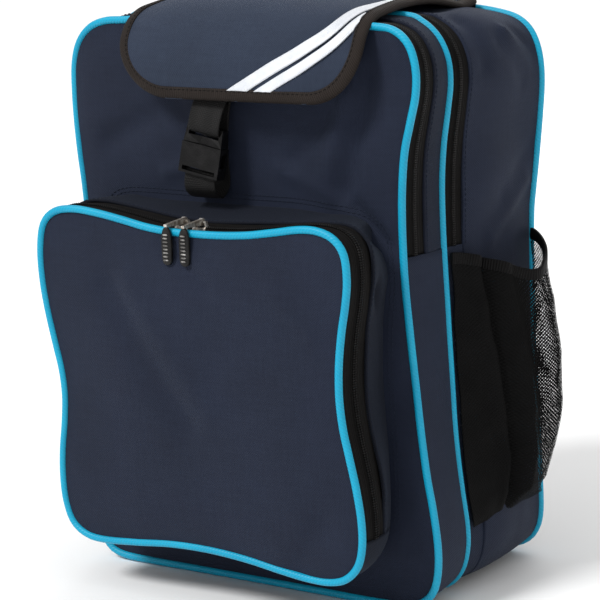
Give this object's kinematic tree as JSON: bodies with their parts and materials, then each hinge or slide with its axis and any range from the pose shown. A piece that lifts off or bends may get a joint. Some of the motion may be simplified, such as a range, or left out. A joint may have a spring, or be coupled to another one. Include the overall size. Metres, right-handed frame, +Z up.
{
  "type": "school backpack",
  "caption": "Junior school backpack with zipped compartments, a zipped front pocket, mesh side pockets, padded straps and a buckled flap over the top.",
  "frame": {"origin": "the middle of the base panel's underside, where the bag stands", "axes": "X across the bag, to the right as seen from the front; Y from the pocket towards the shoulder straps; Z up"},
  "size_m": [0.3646, 0.2551, 0.3912],
  "materials": {
    "navy_fabric": "coated plain-weave polyester",
    "cyan_piping": "smooth woven piping",
    "black_tape": "ribbed woven tape",
    "black_mesh": "open knitted mesh",
    "reflective_tape": "silver reflective tape",
    "black_plastic": "moulded acetal",
    "black_rubber": "ribbed soft rubber",
    "nickel": "dull nickel plate",
    "grey_board": "stiff board"
  },
  "bodies": {
    "root": {"back_panel": "black_mesh", "base_board": "grey_board", "base_panel": "navy_fabric", "buckle_socket": "black_plastic", "divider_panel": "navy_fabric", "front_gusset_lower": "navy_fabric", "front_gusset_upper": "navy_fabric", "front_panel": "navy_fabric", "front_piping": "cyan_piping", "front_zip": "black_tape", "main_gusset_lower": "navy_fabric", "main_gusset_upper": "navy_fabric", "main_zip": "black_tape", "middle_piping": "cyan_piping", "rear_piping": "cyan_piping", "pocket_gusset_lower": "navy_fabric", "pocket_gusset_upper": "navy_fabric", "pocket_zip_rear_tape": "black_tape", "shoulder_strap_left": "navy_fabric", "shoulder_strap_right": "navy_fabric", "side_pocket_left": "black_mesh", "side_pocket_right": "black_mesh", "side_pocket_binding_left": "black_tape", "side_pocket_binding_right": "black_tape", "socket_webbing": "black_tape", "strap_adjuster_left": "black_plastic", "strap_adjuster_right": "black_plastic", "strap_webbing_left": "black_tape", "strap_webbing_right": "black_tape", "strap_wing_left": "navy_fabric", "strap_wing_right": "navy_fabric"},
    "flap": {"flap_panel": "navy_fabric", "flap_binding": "black_tape", "reflective_stripe_inner": "reflective_tape", "reflective_stripe_outer": "reflective_tape"},
    "plug": {"buckle_plug": "black_plastic", "flap_webbing": "black_tape"},
    "prong_left": {"buckle_prong_left": "black_plastic"},
    "prong_right": {"buckle_prong_right": "black_plastic"},
    "pocket_front": {"pocket_panel": "navy_fabric", "pocket_piping": "cyan_piping", "pocket_zip_front_tape": "black_tape"},
    "pocket_slider_left": {"pocket_zip_slider_left": "nickel"},
    "pocket_slider_right": {"pocket_zip_slider_right": "nickel"},
    "pocket_pull_left": {"pocket_zip_tab_left": "nickel", "pocket_zip_pull_left": "black_rubber"},
    "pocket_pull_right": {"pocket_zip_tab_right": "nickel", "pocket_zip_pull_right": "black_rubber"},
    "front_slider": {"front_zip_slider": "nickel"},
    "front_pull": {"front_zip_tab": "nickel", "front_zip_pull": "black_rubber"},
    "main_slider": {"main_zip_slider": "nickel"},
    "main_pull": {"main_zip_tab": "nickel", "main_zip_pull": "black_rubber"},
    "grab_handle": {"haul_loop": "black_tape"}
  },
  "joints": [
    {"name": "flap_open", "type": "hinge", "parent": "root", "child": "flap", "pos_m": [0, 0.07, 0.3825], "axis": [-1, 0, 0], "range_deg": [0, 140]},
    {"name": "buckle_release", "type": "slide", "parent": "flap", "child": "plug", "axis": [0.1671, 0.0786, 0.9828], "range_m": [0, 0.018]},
    {"name": "prong_left_squeeze", "type": "hinge", "parent": "plug", "child": "prong_left", "pos_m": [-0.02443, -0.09252, 0.29963], "axis": [0.0132, -0.9969, 0.0775], "range_deg": [0, 12]},
    {"name": "prong_right_squeeze", "type": "hinge", "parent": "plug", "child": "prong_right", "pos_m": [-0.00767, -0.09252, 0.29678], "axis": [-0.0132, 0.9969, -0.0775], "range_deg": [0, 12]},
    {"name": "pocket_open", "type": "hinge", "parent": "root", "child": "pocket_front", "pos_m": [0, -0.128, 0.031], "axis": [1, 0, 0], "range_deg": [0, 85]},
    {"name": "pocket_zip_left", "type": "slide", "parent": "pocket_front", "child": "pocket_slider_left", "axis": [-1, 0, 0], "range_m": [0, 0.05]},
    {"name": "pocket_zip_right", "type": "slide", "parent": "pocket_front", "child": "pocket_slider_right", "axis": [1, 0, 0], "range_m": [0, 0.05]},
    {"name": "pocket_pull_left_swing", "type": "hinge", "parent": "pocket_slider_left", "child": "pocket_pull_left", "pos_m": [-0.02, -0.11335, 0.2522], "axis": [-1, 0, 0], "range_deg": [0, 100]},
    {"name": "pocket_pull_right_swing", "type": "hinge", "parent": "pocket_slider_right", "child": "pocket_pull_right", "pos_m": [-0.006, -0.11335, 0.2522], "axis": [-1, 0, 0], "range_deg": [0, 100]},
    {"name": "front_zip_run", "type": "slide", "parent": "root", "child": "front_slider", "axis": [0, 0, 1], "range_m": [0, 0.058]},
    {"name": "front_pull_swing", "type": "hinge", "parent": "front_slider", "child": "front_pull", "pos_m": [-0.1413, -0.06, 0.272], "axis": [0, 1, 0], "range_deg": [0, 170]},
    {"name": "main_zip_run", "type": "slide", "parent": "root", "child": "main_slider", "axis": [0, 0, 1], "range_m": [0, 0.058]},
    {"name": "main_pull_swing", "type": "hinge", "parent": "main_slider", "child": "main_pull", "pos_m": [-0.1413, -0.019, 0.272], "axis": [0, 1, 0], "range_deg": [0, 170]},
    {"name": "handle_swing", "type": "hinge", "parent": "root", "child": "grab_handle", "pos_m": [0, 0.0862, 0.366], "axis": [1, 0, 0], "range_deg": [0, 100]}
  ],
  "couplings": [
    {"joint": "prong_left_squeeze", "follows": "buckle_release", "rad_per_m": 10},
    {"joint": "prong_right_squeeze", "follows": "buckle_release", "rad_per_m": 10}
  ]
}
